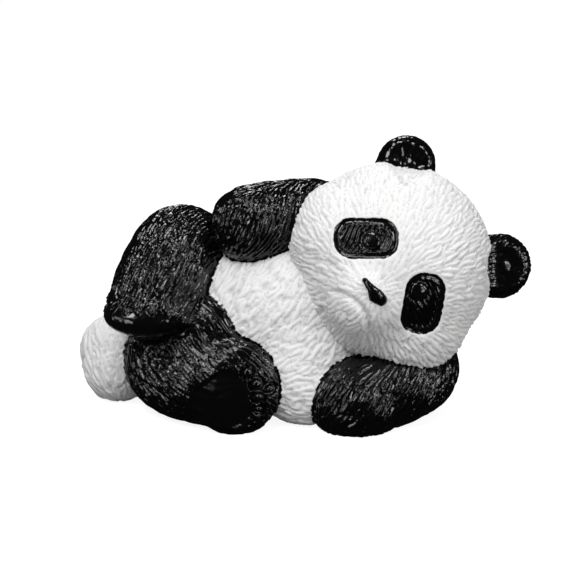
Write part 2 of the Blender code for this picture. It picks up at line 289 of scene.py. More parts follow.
def fur_way(points, normals, form_names):
    """The way the fur lies at each point, along the skin."""
    nearest = nearest_form(points, form_names)
    off_nose = points - np.array(on_head(COMB_FROM))
    way = np.zeros_like(points)
    for i, name in enumerate(form_names):
        here = nearest == i
        balls = FORMS[name]
        if name == "torso":
            fall = FALL * np.clip(points[here, 2] - FALL_FROM, 0, None)
            way[here] = np.column_stack((-np.ones(len(fall)), np.zeros(len(fall)), -fall))
        elif balls[0][3] is None:
            way[here] = off_nose[here]
        else:
            way[here] = ball_shares(points[here], balls).T @ np.array([each[3] for each in balls])
    way -= normals * (way * normals).sum(axis=1)[:, None]
    return way / np.maximum(np.linalg.norm(way, axis=1), 1e-6)[:, None]


print("the fur of the head runs away from", [round(c, 1) for c in on_head(COMB_FROM)])

# %% [markdown]
# ## Lines for the finest hairs
# The paint draws hairs that are finer than the mesh, and they have to follow the fur as well. So each
# point gets its offset from the line that its fur follows, and how far along that line it lies. Noise
# that changes quickly across and slowly along then looks like long hairs. Noise in plain space would
# only look like grain.

# %% Measure across and along the fur
NOSE_FAN = 11.0
HAIRS_FROM = (0, 9, -4.5)


def fur_flow(points, form_names):
    """Each point's offset from the line that its fur follows, and its distance along that line, in mm."""
    nearest = nearest_form(points, form_names)
    offset = np.zeros_like(points)
    reach = np.zeros(len(points))
    for i, name in enumerate(form_names):
        here = nearest == i
        balls = FORMS[name]
        if name == "torso":
            offset[here] = points[here] * (0, 1, 1)
            reach[here] = -points[here, 0]
        elif balls[0][3] is None:
            off_nose = points[here] - np.array(on_head(HAIRS_FROM))
            away = np.linalg.norm(off_nose, axis=1)
            offset[here] = NOSE_FAN * off_nose / np.maximum(away, 1)[:, None]
            reach[here] = away
        else:
            near = ball_shares(points[here], balls)
            near /= near.sum(axis=0)
            middle = np.zeros((here.sum(), 3))
            run = 0.0
            for j, (centre, _, _, way) in enumerate(balls):
                run += (centre - balls[max(j - 1, 0)][0]).length
                heading = np.array(way.normalized())
                ahead = (points[here] - np.array(centre)) @ heading
                reach[here] += near[j] * (run + ahead)
                middle += near[j][:, None] * (np.array(centre) + ahead[:, None] * heading)
            offset[here] = points[here] - middle
    return offset, reach


print("the hairs of the head run away from", [round(c, 1) for c in on_head(HAIRS_FROM)])

# %% [markdown]
# ## Strands
# Seen close, the carved fur is a pattern of long strands with a thin groove between each two. Each
# strand follows the way the fur lies with a small curl, is round across, and stands a little higher at
# its tip, where it overlaps the next one. Every point of the skin belongs to the strand whose middle is
# nearest, measured so that a strand is long and narrow. It is low where two strands lie side by side
# and are equally near, which draws the grooves. Pressing a picture of fur into the skin would stretch
# it over the paws, and loose spindles would bury the grooves.

# %% Name the sizes of the strands
class Strands:
    """Sizes in mm of the strands of one piece, and how far they swing from the way the fur lies."""

    def __init__(self, length, width, rise, curl, swing, seed):
        self.length = length
        self.width = width
        self.rise = rise
        self.curl = curl
        self.swing = math.radians(swing)
        self.seed = seed


PIECE_STRANDS = {
    "panda_head": Strands(length=3.0, width=0.56, rise=0.4, curl=0.2, swing=24, seed=3),
    "panda_body": Strands(length=3.4, width=0.58, rise=0.42, curl=0.34, swing=24, seed=5),
    "panda_arms": Strands(length=3.8, width=0.56, rise=0.42, curl=0.14, swing=16, seed=7),
    "panda_legs": Strands(length=3.8, width=0.56, rise=0.42, curl=0.14, swing=16, seed=9),
}
print("strands are wide, in mm:", {name: strands.width for name, strands in PIECE_STRANDS.items()})

# %% Spread the middles of the strands
# The room of a strand, and the cells that thin out the points first, as shares of its length and width
ROOT_ROOM = 0.8
ROOT_CELL = 0.4


def plant_tree(points):
    """A tree that finds the points near a place."""
    tree = kdtree.KDTree(len(points))
    for i, point in enumerate(points):
        tree.insert(point, i)
    tree.balance()
    return tree


def around(tree, point, radius):
    """Numbers of the points within a radius."""
    return np.array([found[1] for found in tree.find_range(Vector(point), radius)], int)


def spread_roots(points, normals, way, strands, rng):
    """Middles of strands: random points of the skin, none inside the room of another."""
    order = rng.permutation(len(points))
    cells = np.floor(points[order] / (ROOT_CELL * strands.width)).astype(np.int64)
    keys = (cells[:, 0] * 73856093) ^ (cells[:, 1] * 19349663) ^ (cells[:, 2] * 83492791)
    order = order[np.sort(np.unique(keys, return_index=True)[1])]
    tree = plant_tree(points[order])
    free = np.ones(len(order), bool)
    roots = []
    for i, root in enumerate(order):
        if not free[i]:
            continue
        roots.append(root)
        near = around(tree, points[root], ROOT_ROOM * strands.length)
        offset = points[order[near]] - points[root]
        along = offset @ way[root] / (ROOT_ROOM * strands.length)
        across = offset @ np.cross(normals[root], way[root]) / (ROOT_ROOM * strands.width)
        free[near[np.hypot(along, across) < 1]] = False
    return roots


print("no strand starts within", ROOT_ROOM, "of another's length and width")

# %% Lay strands on the skin
STRAND_REACH = 1.1
GROOVE_SHARE = 0.75
TIP_RISE = 0.5


def lay_strands(points, normals, way, strands):
    """Height of the fur in mm at each point."""
    rng = np.random.default_rng(strands.seed)
    tree = plant_tree(points)
    first = np.full(len(points), 9.0)
    second = np.full(len(points), 9.0)
    tilt = np.zeros(len(points))
    beside = np.zeros(len(points))
    roots = spread_roots(points, normals, way, strands, rng)
    for root in roots:
        swing, lift, bend, turn = rng.random(4)
        up = normals[root]
        side = np.cross(up, way[root])
        angle = strands.swing * (swing - 0.5)
        ahead = way[root] * math.cos(angle) + side * math.sin(angle)
        near = around(tree, points[root], STRAND_REACH * strands.length)
        offset = points[near] - points[root]
        along = offset @ ahead / strands.length
        curl = (2 * bend - 1) * np.cos(math.pi * along) + (2 * turn - 1) * np.sin(2 * math.pi * along)
        across = offset @ np.cross(up, ahead) - strands.curl * curl
        apart = np.hypot(along, across / strands.width) + 0.5 * np.abs(offset @ up) / strands.length
        nearest = apart < first[near]
        second[near] = np.where(nearest, first[near], np.minimum(second[near], apart))
        mine = near[nearest]
        first[mine] = apart[nearest]
        tilt[mine] = along[nearest] + 0.5 * (lift - 0.5)
        beside[mine] = (np.abs(across / strands.width) / np.maximum(apart, 0.05))[nearest]
    groove = (1 - np.clip((second - first) / GROOVE_SHARE, 0, 1)) ** 2
    rounded = 1 - groove * (0.25 + 0.75 * np.clip(beside, 0, 1))
    height = strands.rise * rounded * (0.8 + TIP_RISE * np.clip(tilt, -0.5, 0.5))
    print(len(roots), "strands")
    return height


print("a strand can reach", STRAND_REACH, "times its length")

# %% [markdown]
# ## The face, the ears and the feet
# These are carved bare: hollowed eye patches with a ring and a domed eye, a small nose, a mouth line,
# and the soles with their round toe pads. They are worked out from distances to simple outlines, which
# stay smooth at any density of the mesh.

# %% Helpers for outlines
def rounded_box(along, across, half, corner):
    """How far a point of a plane lies outside a box with round corners."""
    over_along = np.abs(along) - half[0] + corner
    over_across = np.abs(across) - half[1] + corner
    beyond = np.hypot(np.maximum(over_along, 0), np.maximum(over_across, 0))
    return beyond + np.minimum(np.maximum(over_along, over_across), 0) - corner


def step_down(distance, width):
    """1 well inside an edge and 0 outside it, smooth over the width."""
    t = np.clip(0.5 - distance / width, 0, 1)
    return t * t * (3 - 2 * t)


def ridge(distance, width):
    """A round ridge along distance 0."""
    return np.exp(-((distance / width) ** 2))


def dome(distance, radius):
    """1 at the middle of a dome and 0 at its rim and beyond."""
    return np.sqrt(np.clip(1 - (distance / radius) ** 2, 0, 1))


print("a dome is", round(float(dome(0.5, 1)), 3), "high halfway to its rim")

# %% Name the lines of the face
# A distance in mm that is well beyond all black paint
NO_INK = 5.0
# Each patch is its centre, its turn and its half length and width, by side and up on the head
FACE_FRONT = 4
PATCHES = (((-5.5, -0.92), math.radians(49), (3.92, 2.5)), ((5.25, -0.95), math.radians(131), (3.85, 2.6)))
PATCH_CORNER = 2.2
STROKE_SLANTS = (math.radians(-28), math.radians(-55))
STROKE_PITCH = 0.54
STROKE_RISES = (0.08, 0.13)
PATCH_DEPTH = 0.32
PATCH_RING = 0.55
PATCH_RIM = 0.12
EYES = ((-4.96, -0.6), (3.7, -0.4))
EYE_RADIUS = 1.15
EYE_RISE = 0.45
EYE_GROOVE = 0.16
# Each is (side, up, radius)
NOSE_PATH = ((-1.95, -4.55, 0.28), (-0.9, -4.6, 0.42), (0.3, -4.75, 0.85), (1.1, -4.6, 0.72))
NOSE_RISE = 0.22
MOUTH_DROP = 7.1
MOUTH_HALF = 3.0
MOUTH_DEPTH = 0.55
MOUTH_WIDTH = 0.4
EAR_PAINT = 0.45
EAR_HOLLOW = 0.75
EAR_HOLLOW_SHARE = 0.55


def nose_distance(side, up):
    """How far a point lies outside the painted nose, a line that thickens to one end."""
    far = np.full(len(side), 9.0)
    for (s0, u0, r0), (s1, u1, r1) in zip(NOSE_PATH, NOSE_PATH[1:]):
        run = np.array([s1 - s0, u1 - u0])
        t = np.clip(((side - s0) * run[0] + (up - u0) * run[1]) / (run @ run), 0, 1)
        gap = np.hypot(side - s0 - t * run[0], up - u0 - t * run[1]) - (r0 + t * (r1 - r0))
        far = np.minimum(far, gap)
    return far


def patch_edge(side, up, patch):
    """Along and across an eye patch, and how far a point lies outside its edge."""
    centre, turn, half = patch
    along = (side - centre[0]) * math.cos(turn) + (up - centre[1]) * math.sin(turn)
    across = (up - centre[1]) * math.cos(turn) - (side - centre[0]) * math.sin(turn)
    return along, across, rounded_box(along, across, half, PATCH_CORNER)


print("the eye patches are", [2 * patch[2][0] for patch in PATCHES], "mm long")

# %% Carve the head
def carve_head(points):
    """Height, bareness and distance to the black paint on the head."""
    side, front, up = ((points - np.array(HEAD_CENTRE)) @ np.array(HEAD_TURN)).T
    on_face = front > FACE_FRONT
    height = np.zeros(len(points))
    bare = np.zeros(len(points))
    ink = np.full(len(points), NO_INK)
    for patch, eye, slant, rise in zip(PATCHES, EYES, STROKE_SLANTS, STROKE_RISES):
        along, across, edge = patch_edge(side, up, patch)
        from_eye = np.hypot(side - eye[0], up - eye[1])
        inside = step_down(edge + 0.1, 0.5) * on_face
        way = along * math.cos(slant) + across * math.sin(slant) + 0.12 * np.sin(1.9 * across)
        strokes = rise * np.sin(2 * math.pi * way / STROKE_PITCH + 0.7 * np.sin(1.3 * along + 2 * across))
        strokes *= step_down(edge + PATCH_RING + 0.3, 0.4)
        strokes *= 1 - step_down(from_eye - EYE_RADIUS - 0.3, 0.3)
        eyeball = EYE_RISE * dome(from_eye, EYE_RADIUS)
        eyeball = eyeball - EYE_GROOVE * ridge(from_eye - EYE_RADIUS - 0.15, 0.2)
        rim = PATCH_RIM * ridge(edge + PATCH_RING + 0.25, 0.16)
        height += (strokes + eyeball + rim - PATCH_DEPTH) * inside
        bare = np.maximum(bare, step_down(edge - 0.3, 0.4) * on_face)
        ink = np.where(on_face, np.minimum(ink, edge), ink)
    nose = nose_distance(side, up)
    height += NOSE_RISE * step_down(nose, 0.6) * on_face
    bare = np.maximum(bare, step_down(nose - 0.2, 0.6) * on_face)
    ink = np.where(on_face, np.minimum(ink, nose), ink)
    mouth = np.hypot(up + MOUTH_DROP + 0.1 * side**2, np.maximum(np.abs(side) - MOUTH_HALF, 0))
    height -= MOUTH_DEPTH * ridge(mouth, MOUTH_WIDTH) * on_face
    for ear_centre, radii in EARS:
        ink = np.minimum(ink, outside(points, [head_ball((ear_centre, radii))])[0] - EAR_PAINT)
        hollow = np.hypot(side - ear_centre[0], up - ear_centre[2]) - EAR_HOLLOW_SHARE * radii[0]
        height -= EAR_HOLLOW * step_down(hollow, 2) * (front > ear_centre[1])
    return height, bare, ink


print("the mouth is", 2 * MOUTH_HALF, "mm wide and", MOUTH_DEPTH, "mm deep")

# %% [markdown]
# ## The soles
# The lower foot shows its sole, which is smooth and lies a little lower than the fur, with round toe
# pads that each stand in a ring. The upper foot shows only the edge of its sole, where the fur ends in
# a zigzag over the toes. Both are found on the skin by their place in the view from the front and by
# the way the skin faces.

# %% Name the pads and the soles
# Each is (x, z, radius): three large pads and two small ones
TOE_PADS = ((-7.0, 8.7, 0.6), (-5.9, 7.2, 0.62), (-5.65, 5.5, 0.6), (-4.2, 6.3, 0.5), (-5.6, 3.9, 0.45))
PAD_RISE = 0.46
PAD_GROOVE = 0.36
PAD_RING = 0.14
SOLE_AT = (-10.0, 5.0)
SOLE_HALF = (4.1, 3.9)
SOLE_DEPTH = 0.3
SOLE_STREAK = 0.03
SOLE_STREAKS = 26
UPPER_TOES = 7
UPPER_SOLE_TOP = 1.6
UPPER_SOLE_REACH = 3.0
UPPER_SOLE_DEPTH = 0.25
TOE_ARCH = 0.5
TOE_RISE = 0.15
TOE_LIP = 0.12


def pad_distance(x, z):
    """How far a point lies outside the nearest toe pad."""
    return np.min([np.hypot(x - pad_x, z - pad_z) - radius for pad_x, pad_z, radius in TOE_PADS], axis=0)


print(len(TOE_PADS), "toe pads")

# %% Carve the feet
def carve_lower_sole(points, normals):
    """Height and bareness of the lower foot's sole, and how much each point is around a toe pad."""
    x, y, z = points.T
    facing = (normals[:, 1] < -0.3) & (y < LOWER_FOOT[0][1] - 0.5)
    taper = 0.55 + 0.45 * np.clip((x - SOLE_AT[0]) / SOLE_HALF[0] + 1, 0, 1)
    sole = np.hypot((x - SOLE_AT[0]) / SOLE_HALF[0], (z - SOLE_AT[1]) / (SOLE_HALF[1] * taper)) - 1
    bare = step_down(sole * SOLE_HALF[1], 0.5) * facing
    bearing = np.arctan2(z - SOLE_AT[1] - 2, SOLE_AT[0] + SOLE_HALF[0] - x)
    height = -(SOLE_DEPTH + SOLE_STREAK * np.sin(SOLE_STREAKS * bearing + 2 * np.sin(x))) * bare
    off_pad = pad_distance(x, z)
    pads = -PAD_GROOVE * ridge(off_pad - 0.2, 0.2) + PAD_RING * ridge(off_pad - 0.52, 0.14)
    for pad_x, pad_z, radius in TOE_PADS:
        pads += PAD_RISE * radius / 0.6 * dome(np.hypot(x - pad_x, z - pad_z), radius)
    around_pads = step_down(off_pad - 0.6, 0.3) * facing
    return height + pads * around_pads, bare + around_pads


def carve_legs(points, normals):
    """Height and bareness of the soles of the two feet."""
    height, bare = carve_lower_sole(points, normals)
    x, y, z = points.T
    (foot_x, foot_y, foot_z), (half_x, _, _) = UPPER_FOOT
    upper = nearest_form(points, ("upper_leg", "lower_leg")) == 0
    on_foot = upper & (y < foot_y + 1) & (np.abs(x - foot_x) < half_x + 1.5)
    zigzag = TOE_ARCH * (2 * np.abs(((x - foot_x) / half_x * UPPER_TOES / 2) % 1 - 0.5) * 2 - 1)
    above = z - foot_z - UPPER_SOLE_TOP - zigzag
    side = step_down(x - foot_x - UPPER_SOLE_REACH + 0.8 * (z - foot_z - 1), 2) * on_foot
    under = step_down(above, 0.35) * side
    height -= UPPER_SOLE_DEPTH * under
    toes = TOE_RISE * step_down(np.abs(above - 0.5) - 0.5, 0.4) + TOE_LIP * ridge(above - 0.1, 0.15)
    height += toes * side
    return height, np.clip(bare + under, 0, 1)


print("the lower sole is", 2 * SOLE_HALF[0], "by", 2 * SOLE_HALF[1], "mm")

# %% [markdown]
# ## Where one piece meets another
# Black paint spills a little onto white fur wherever a limb touches it, and along the trunk the legs
# have a thin bare ridge. Both follow how far a point lies from the other piece's skin, so the smooth
# skins are kept to measure from.

# %% Measure to the other pieces
def smooth_surface(name):
    """A piece's skin before it is carved, to measure from."""
    return BVHTree.FromObject(skins[name], bpy.context.evaluated_depsgraph_get())


GAP_REACH = 2.0
smooth_surfaces = {name: smooth_surface(name) for name in skins}


def gap_to(points, names):
    """How far each point lies from the nearest of these pieces' smooth skins, up to a reach."""
    gaps = np.full(len(points), GAP_REACH)
    for name in names:
        surface = smooth_surfaces[name]
        for i, point in enumerate(points * MM):
            found = surface.find_nearest(point, gaps[i] * MM)[3]
            if found is not None:
                gaps[i] = found / MM
    return gaps


print("gaps are measured up to", GAP_REACH, "mm")

# %% [markdown]
# ## Finer faces where the details are
# The eye patches, the nose and the toes have details finer than the fur, so their faces are cut in
# four. Cutting all faces would make the pieces far too heavy. The faces are picked by the place of
# their middles.

# %% Find the fine details
FINE_PIECES = ("panda_head", "panda_legs")


def on_fine_detail(points):
    """Whether points lie on an eye patch, the nose or the toes."""
    side, front, up = ((points - np.array(HEAD_CENTRE)) @ np.array(HEAD_TURN)).T
    edges = [patch_edge(side, up, patch)[2] - 0.2 for patch in PATCHES]
    on_face = (np.min([*edges, nose_distance(side, up) - 0.4], axis=0) < 0) & (front > FACE_FRONT)
    x, y, z = points.T
    on_toes = (pad_distance(x, z) < 0.8) & (y < LOWER_FOOT[0][1])
    return on_face | on_toes


print("fine details are on", FINE_PIECES)

# %% Cut faces in four
def refine(name):
    """Cuts a piece's faces in four where it has fine details."""
    skin = skins[name]
    centres = np.empty(len(skin.data.polygons) * 3, np.float32)
    skin.data.polygons.foreach_get("center", centres)
    centres = centres.reshape(-1, 3).astype(float) / MM
    fine = on_fine_detail(centres)
    bpy.ops.object.select_all(action="DESELECT")
    skin.select_set(True)
    bpy.context.view_layer.objects.active = skin
    bpy.context.tool_settings.mesh_select_mode = (False, False, True)
    bpy.ops.object.mode_set(mode="EDIT")
    bpy.ops.mesh.select_all(action="DESELECT")
    bpy.ops.object.mode_set(mode="OBJECT")
    skin.data.polygons.foreach_set("select", fine)
    bpy.ops.object.mode_set(mode="EDIT")
    bpy.ops.mesh.subdivide(number_cuts=1)
    bpy.ops.object.mode_set(mode="OBJECT")
    skin.data.calc_loop_triangles()
    print(name, "is refined to", len(skin.data.loop_triangles), "triangles")


for name in FINE_PIECES:
    refine(name)

# %% [markdown]
# ## Carving the four pieces
# The head, the body, the arms and the legs are carved one after another. Each keeps five values on its
# mesh for the paint: the offset and the distance that draw the hairs, how deep a point lies in the fur,
# which sets the painted shade in the grooves, how bare it is, and how far it is from the edge of the
# black paint. The cub stands on its underside, so no point may sink below the ground.

# %% Choose where the fur is deep
GROUND_LIFT = {"panda_head": 0.09, "panda_body": 0.06, "panda_arms": 0.03, "panda_legs": 0.0}
PIECE_FORMS = {
    "panda_head": ("head", "right_ear", "left_ear"),
    "panda_body": ("torso", "tail"),
    "panda_arms": ("upper_arm", "lower_arm"),
    "panda_legs": ("upper_leg", "lower_leg"),
}
BLACK_PIECES = ("panda_arms", "panda_legs")
SHORT_FUR_SHARE = 0.4
LONG_FUR_SHARE = 1.0
FUR_GROWTH = 0.06
CROWN_HEIGHT = 22
CROWN_LOSS = 0.07
CROWN_SHARE = 0.45
JOWL_HEIGHT = 17.5
JOWL_GAIN = 0.28
JOWL_FUR_SHARE = 1.25
EAR_FUR_SHARE = 0.5


def head_fur_share(points):
    """How deep the head's fur is: short at the nose and on the crown, and longest on the jowls."""
    from_nose = np.linalg.norm(points - np.array(on_head(NOSE[0])), axis=1)
    share = np.clip(SHORT_FUR_SHARE + FUR_GROWTH * from_nose, 0, LONG_FUR_SHARE)
    share *= np.clip(1 - CROWN_LOSS * (points[:, 2] - CROWN_HEIGHT), CROWN_SHARE, 1)
    share += np.clip(JOWL_GAIN * (JOWL_HEIGHT - points[:, 2]), 0, 1)
    share = np.minimum(share, JOWL_FUR_SHARE)
    off_ears = outside(points, [head_ball(ear) for ear in EARS]).min(axis=0)
    return share * (1 - EAR_FUR_SHARE * step_down(off_ears - 0.3, 0.3))


print("the fur's share is", SHORT_FUR_SHARE, "at the nose and", JOWL_FUR_SHARE, "on the jowls")

# %% Find where the black paint ends
SHOULDER_BAND = 5.0
SHOULDER_FRONT = 5.0
PAINT_SPILL = 0.3


def shoulder_distance(points):
    """How far the trunk lies from the black band that joins the two arms across the back."""
    start, end = np.array(UPPER_ARM[0][:3]), np.array(LOWER_ARM[0][:3])
    run = end - start
    t = np.clip((points - start) @ run / (run @ run), 0, 1)[:, None]
    from_band = np.linalg.norm((points - start - t * run)[:, [0, 2]], axis=1) - SHOULDER_BAND
    return np.maximum(from_band, SHOULDER_FRONT - points[:, 1])


print("the shoulder's band is", 2 * SHOULDER_BAND, "mm wide")

# %% Carve each piece's details
BORDER_BAND = 0.7
BORDER_RIDGE = 0.16
BORDER_BARE = 0.7


def carve_details(name, points, normals):
    """A piece's details: height, bareness, distance to the black paint and share of the fur."""
    detail = np.zeros(len(points))
    bare = np.zeros(len(points))
    ink = np.full(len(points), -NO_INK if name in BLACK_PIECES else NO_INK)
    share = np.ones(len(points))
    if name == "panda_head":
        detail, bare, ink = carve_head(points)
        share = head_fur_share(points)
    if name == "panda_legs":
        detail, bare = carve_legs(points, normals)
        off_body = gap_to(points, ("panda_body",))
        detail += BORDER_RIDGE * ridge(off_body - BORDER_BAND - 0.15, 0.15) * (1 - bare)
        bare = np.maximum(bare, BORDER_BARE * step_down(off_body - BORDER_BAND, 0.3))
    if name == "panda_body":
        ink = shoulder_distance(points)
    if name not in BLACK_PIECES:
        ink = np.minimum(ink, gap_to(points, BLACK_PIECES) - PAINT_SPILL)
    return detail, bare, ink, share


print("the legs are bare", BORDER_BAND, "mm from the body")

# %% Raise the fur
BARE_DEPTH = 0.6


def keep(mesh, name, kind, values):
    """Keeps a value for each point of a mesh."""
    attribute = mesh.attributes.new(name, kind, "POINT")
    field = "vector" if kind == "FLOAT_VECTOR" else "value"
    attribute.data.foreach_set(field, np.asarray(values, np.float32).ravel())


def carve(name):
    """Carves a piece's fur and details."""
    skin = skins[name]
    points, normals = read_skin(skin)
    strands = PIECE_STRANDS[name]
    fur = lay_strands(points, normals, fur_way(points, normals, PIECE_FORMS[name]), strands)
    offset, reach = fur_flow(points, PIECE_FORMS[name])
    detail, bare, ink, share = carve_details(name, points, normals)
    relief = (fur - 0.5 * strands.rise) * share * (1 - bare)
    moved = points + normals * (detail + relief)[:, None]
    moved[:, 2] = np.maximum(moved[:, 2], GROUND_LIFT[name])
    skin.data.vertices.foreach_set("co", (moved * MM).astype(np.float32).ravel())
    skin.data.update()
    keep(skin.data, "flow", "FLOAT_VECTOR", offset)
    keep(skin.data, "reach", "FLOAT", reach)
    # The paint turns this into painted shade: low fur in the grooves gets a darker colour, bare skin none
    keep(skin.data, "depth", "FLOAT", np.where(bare > 0.5, BARE_DEPTH, fur / strands.rise))
    keep(skin.data, "bare", "FLOAT", bare)
    keep(skin.data, "ink", "FLOAT", ink)


for name in skins:
    carve(name)

# %% [markdown]
# ## One place for the solid and the pieces
# The plain solid stands with the middle of its box over the origin, because that is where such a part
# is held. The pieces are measured together and moved the same way, in their meshes, so that the objects
# stay at the origin.

# %% Put the pieces where the solid stands
carved = [read_skin(skin)[0] for skin in skins.values()]
lows = np.min([points.min(axis=0) for points in carved], axis=0)
highs = np.max([points.max(axis=0) for points in carved], axis=0)
middle = (lows + highs) / 2
shift = Vector((-middle[0], -middle[1], 0))
for skin in skins.values():
    skin.data.transform(Matrix.Translation(shift * MM))
    skin.data.shade_smooth()
print("moved by", [round(c, 2) for c in shift], "mm, length", round(highs[0] - lows[0], 2))

# %% [markdown]
# ## Paint
# The casting is painted white all over with a matt paint and then black with a gloss paint. Both paints
# are mixed darker where the fur is low, which paints shade into the grooves, and black paint gathers
# light along each fine hair. Both need hairs finer than the mesh, so a node group draws them as height,
# from noise that is stretched along the way the fur lies. One material with both paints keeps the edge
# between them free of the faces' edges.

# %% Helpers for node trees
def new_group(name, inputs, outputs):
    """An empty node group with these sockets, and its input and output nodes."""
    group = bpy.data.node_groups.new(name, "ShaderNodeTree")
    for label, kind, value in inputs:
        made = group.interface.new_socket(name=label, in_out="INPUT", socket_type=kind)
        if value is not None:
            made.default_value = value
    for label, kind in outputs:
        group.interface.new_socket(name=label, in_out="OUTPUT", socket_type=kind)
    return group, group.nodes.new("NodeGroupInput"), group.nodes.new("NodeGroupOutput")


def add_math(tree, operation, first, second=None, clamp=False):
    """A Math node fed by sockets or numbers."""
    node = tree.nodes.new("ShaderNodeMath")
    node.operation = operation
    node.use_clamp = clamp
    for socket, value in zip(node.inputs, (first, second)):
        if hasattr(value, "links"):
            tree.links.new(value, socket)
        elif value is not None:
            socket.default_value = value
    return node.outputs[0]


print("node groups before the paint:", len(bpy.data.node_groups))

# %% Draw fine hairs
WAVES_PER_MM = 0.4
CREST = 5.0


def build_hairs():
    """Node group: fine wavering hairs along the way the fur lies, as height from 0 to 1."""
    group, given, result = new_group(
        "fine_hairs",
        (
            ("Flow", "NodeSocketVector", None), ("Reach", "NodeSocketFloat", None),
            ("Hairs per mm", "NodeSocketFloat", 0.8), ("Stretch", "NodeSocketFloat", 0.09),
            ("Waver", "NodeSocketFloat", 0.5),
        ),
        (("Height", "NodeSocketFloat"),),
    )
    waver = group.nodes.new("ShaderNodeTexNoise")
    waver.inputs["Scale"].default_value = WAVES_PER_MM / MM
    place = group.nodes.new("ShaderNodeTexCoord")
    group.links.new(place.outputs["Object"], waver.inputs["Vector"])
    bent = group.nodes.new("ShaderNodeVectorMath")
    bent.operation = "MULTIPLY_ADD"
    group.links.new(waver.outputs["Color"], bent.inputs[0])
    group.links.new(given.outputs["Waver"], bent.inputs[1])
    group.links.new(given.outputs["Flow"], bent.inputs[2])
    hair = group.nodes.new("ShaderNodeTexNoise")
    hair.noise_dimensions = "4D"
    hair.inputs["Detail"].default_value = 1.5
    group.links.new(bent.outputs[0], hair.inputs["Vector"])
    stretched = add_math(group, "MULTIPLY", given.outputs["Reach"], given.outputs["Stretch"])
    group.links.new(stretched, hair.inputs["W"])
    group.links.new(given.outputs["Hairs per mm"], hair.inputs["Scale"])
    off_crest = add_math(group, "ABSOLUTE", add_math(group, "SUBTRACT", hair.outputs["Fac"], 0.5))
    crest = add_math(group, "SUBTRACT", 1.0, add_math(group, "MULTIPLY", off_crest, CREST), clamp=True)
    group.links.new(crest, result.inputs["Height"])
    return group


hairs = build_hairs()
print("the hairs' node group has", len(hairs.nodes), "nodes")

# %% Helpers for the paint
def read_value(tree, name, output="Fac"):
    """An Attribute node's output for a value that the mesh keeps."""
    node = tree.nodes.new("ShaderNodeAttribute")
    node.attribute_name = name
    return node.outputs[output]


def mix_colours(tree, share, first, second):
    """A colour between two, each a socket or a plain colour."""
    node = tree.nodes.new("ShaderNodeMix")
    node.data_type = "RGBA"
    tree.links.new(share, node.inputs["Factor"])
    for label, value in (("A", first), ("B", second)):
        socket = [s for s in node.inputs if s.name == label and s.type == "RGBA"][0]
        if hasattr(value, "links"):
            tree.links.new(value, socket)
        else:
            socket.default_value = value
    return [s for s in node.outputs if s.type == "RGBA"][0]


def ramp(tree, value, low, high, to_low=0.0, to_high=1.0):
    """Maps a range of a value to another range, held at its ends."""
    node = tree.nodes.new("ShaderNodeMapRange")
    node.clamp = True
    tree.links.new(value, node.inputs["Value"])
    for label, number in (("From Min", low), ("From Max", high), ("To Min", to_low), ("To Max", to_high)):
        node.inputs[label].default_value = number
    return node.outputs[0]


def object_noise(tree, per_mm, detail):
    """Noise in the object's own space, with so many waves to a millimetre."""
    place = tree.nodes.new("ShaderNodeTexCoord")
    noise = tree.nodes.new("ShaderNodeTexNoise")
    noise.inputs["Scale"].default_value = per_mm / MM
    noise.inputs["Detail"].default_value = detail
    tree.links.new(place.outputs["Object"], noise.inputs["Vector"])
    return noise.outputs["Fac"]


print("materials before the paint:", len(bpy.data.materials))

# %% Mix the paints
# Waves are to a mm, and a pair is the value for white paint and the value for black paint
WHITE = (0.9, 0.9, 0.895, 1)
# Painted shade: the colours of the white and the black paint low in a groove, darker than the paints
# themselves
WHITE_PAINTED_SHADE = (0.56, 0.56, 0.56, 1)
BLACK = (0.002, 0.002, 0.0022, 1)
BLACK_PAINTED_SHADE = (0.0005, 0.0005, 0.0005, 1)
# Fur lower than this share of its strand's rise gets painted shade, the darker the lower
PAINTED_SHADE_DEPTH = 0.5
MATT = 0.62
GLOSS_LEAST = 0.1
GLOSS_MOST = 0.2
RAGGED_BARE = 0.3
RAGGED_FURRY = 0.8
EDGE_SOFTNESS = 0.03
EDGE_WAVES = 1.8
GLOSS_WAVES = 1.1
CRINKLE_WAVES = 2.6
CRINKLES = (0.1, 0.15)
HAIRS = (0.15, 1.0)
BARE_BUMP = 0.25
BUMP_HEIGHT = 0.15


